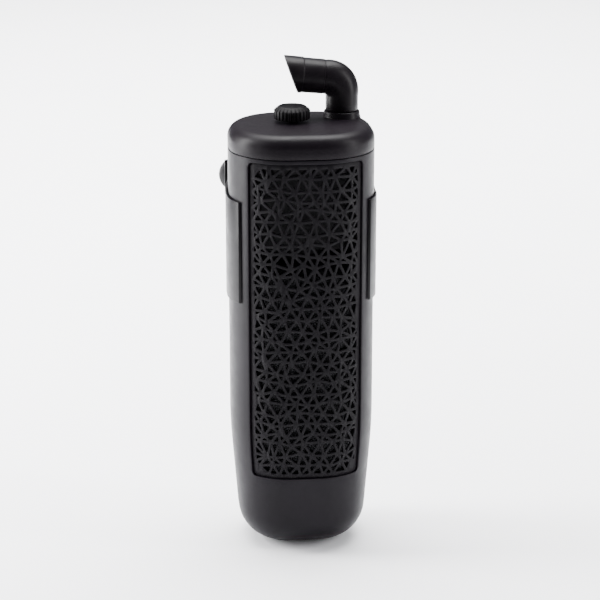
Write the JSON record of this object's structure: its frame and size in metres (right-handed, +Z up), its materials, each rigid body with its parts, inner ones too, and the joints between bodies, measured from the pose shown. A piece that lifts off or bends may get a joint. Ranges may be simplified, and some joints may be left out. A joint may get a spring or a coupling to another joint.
{
  "type": "internal aquarium filter",
  "caption": "Upright internal power filter for a small aquarium: lattice intake canister, pump head with flow knob and swivelling outlet elbow, and a holder with suction cups.",
  "frame": {"origin": "on the glass plane that the cup rims touch, midway between the two suction cups", "axes": "+Y points into the glass, +Z is up along the canister, +X is to the right seen from the lattice side"},
  "size_m": [0.074, 0.07, 0.2391],
  "materials": {
    "head_plastic": "satin charcoal-black moulding",
    "canister_plastic": "satin charcoal-black moulding",
    "grille_plastic": "satin charcoal-black lattice",
    "holder_plastic": "satin black moulding",
    "knob_plastic": "satin black, toothed side",
    "outlet_plastic": "satin black moulding",
    "inner_plastic": "plain dark moulding",
    "bobbin_plastic": "natural nylon",
    "impeller_plastic": "light grey moulding",
    "cup_rubber": "smooth black rubber",
    "seal_rubber": "matt black rubber",
    "foam": "open-cell filter foam",
    "resin": "cast potting resin",
    "core_steel": "stacked steel sheets",
    "winding_copper": "enamelled copper wire",
    "shaft_ceramic": "polished ceramic",
    "magnet_ferrite": "ferrite magnet"
  },
  "bodies": {
    "holder": {"bracket": "holder_plastic", "suction_cup_left": "cup_rubber", "suction_cup_right": "cup_rubber"},
    "canister": {"canister": "canister_plastic", "intake_grille": "grille_plastic", "sponge_cartridge": "foam", "strainer_tube": "inner_plastic"},
    "outlet": {"outlet_elbow": "outlet_plastic", "nozzle_tip": "outlet_plastic", "outlet_seal": "seal_rubber"},
    "flow_knob": {"flow_knob": "knob_plastic", "throttle_ring": "inner_plastic", "knob_seal": "seal_rubber"},
    "rotor": {"rotor_magnet": "magnet_ferrite", "rotor_sleeve": "bobbin_plastic", "impeller": "impeller_plastic"},
    "pump_head": {"head_housing": "head_plastic", "head_seal": "seal_rubber", "cable_gland": "seal_rubber", "motor_housing": "inner_plastic", "potting_resin": "resin", "stator_laminations": "core_steel", "coil_bobbin": "bobbin_plastic", "coil_winding": "winding_copper", "pump_chamber": "inner_plastic", "intake_cover": "inner_plastic", "lower_shaft_bush": "seal_rubber", "upper_shaft_bush": "seal_rubber", "rotor_shaft": "shaft_ceramic", "lower_thrust_washer": "bobbin_plastic", "upper_thrust_washer": "bobbin_plastic"}
  },
  "joints": [
    {"name": "filter_lift", "type": "slide", "parent": "holder", "child": "canister", "axis": [0, 0, 1], "range_m": [0, 0.06]},
    {"name": "head_lift", "type": "slide", "parent": "canister", "child": "pump_head", "axis": [0, 0, 1], "range_m": [0, 0.055]},
    {"name": "outlet_swivel", "type": "hinge", "parent": "pump_head", "child": "outlet", "pos_m": [0.0209, -0.0268, 0.034], "axis": [0, 0, 1], "continuous": true},
    {"name": "flow_knob_turn", "type": "hinge", "parent": "pump_head", "child": "flow_knob", "pos_m": [-0.004, -0.037, 0.034], "axis": [0, 0, 1], "range_deg": [0, 90]},
    {"name": "rotor_spin", "type": "hinge", "parent": "pump_head", "child": "rotor", "pos_m": [-0.004, -0.037, 0.034], "axis": [0, 0, 1], "continuous": true}
  ]
}
